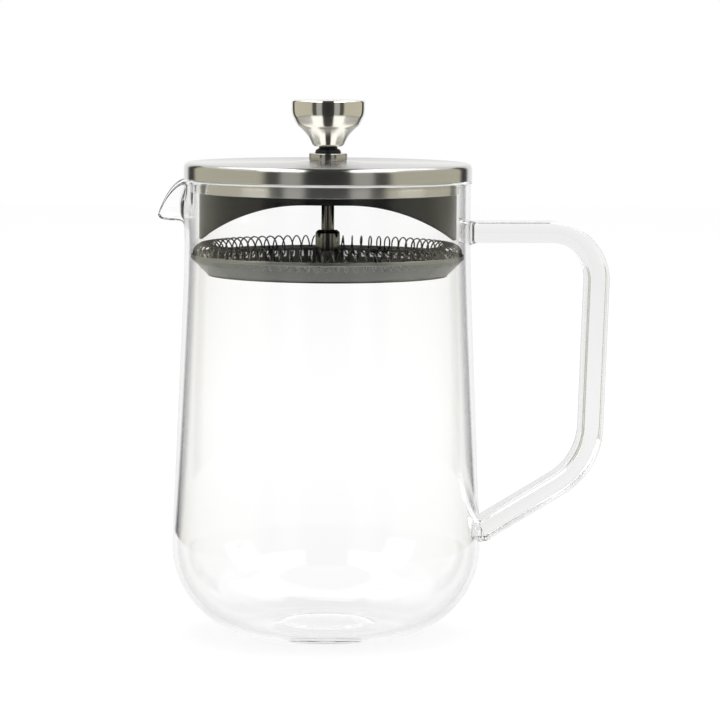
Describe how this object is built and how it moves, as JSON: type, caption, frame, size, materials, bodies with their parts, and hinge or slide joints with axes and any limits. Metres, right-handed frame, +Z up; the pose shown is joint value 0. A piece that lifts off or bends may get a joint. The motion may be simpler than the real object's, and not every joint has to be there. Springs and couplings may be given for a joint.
{
  "type": "french press",
  "caption": "Clear glass coffee jug with a pulled spout and fused glass handle, a lift-off steel lid with a round knob, and a coil-edged plunger filter held in the neck.",
  "frame": {"origin": "on the jug's axis, in the plane the jug stands on", "axes": "+Z up along the jug's axis, +X towards the handle, -X towards the spout"},
  "size_m": [0.1663, 0.1146, 0.1978],
  "materials": {
    "glass": "clear, fire-polished",
    "brushed_steel": "turned and brushed in circles",
    "polished_steel": "polished",
    "pressed_steel": "plain rolled sheet",
    "spring_wire": "drawn wire",
    "screen_steel": "fine woven wire",
    "dark_plastic": "moulded, satin"
  },
  "bodies": {
    "jug": {"glass_beaker": "glass", "glass_spout": "glass", "glass_handle": "glass"},
    "lid_centre": {"lid_bush": "polished_steel", "rod_sleeve": "polished_steel", "bush_washer": "polished_steel", "bush_nut": "polished_steel"},
    "lid": {"lid_cap": "brushed_steel", "lid_pan": "brushed_steel", "splash_guard": "dark_plastic"},
    "plunger": {"knob": "brushed_steel", "plunger_rod": "polished_steel", "rod_hub": "polished_steel", "spring_plate": "pressed_steel", "filter_spring": "spring_wire", "mesh_screen": "screen_steel", "cross_plate": "pressed_steel", "end_nut": "polished_steel"}
  },
  "joints": [
    {"name": "lid_lift", "type": "slide", "parent": "jug", "child": "lid_centre", "axis": [0, 0, 1], "range_m": [0, 0.08]},
    {"name": "lid_turn", "type": "hinge", "parent": "lid_centre", "child": "lid", "pos_m": [0, 0, 0.17], "axis": [0, 0, 1], "continuous": true},
    {"name": "plunger_travel", "type": "slide", "parent": "lid_centre", "child": "plunger", "axis": [0, 0, 1], "range_m": [0, 0.0012]}
  ]
}
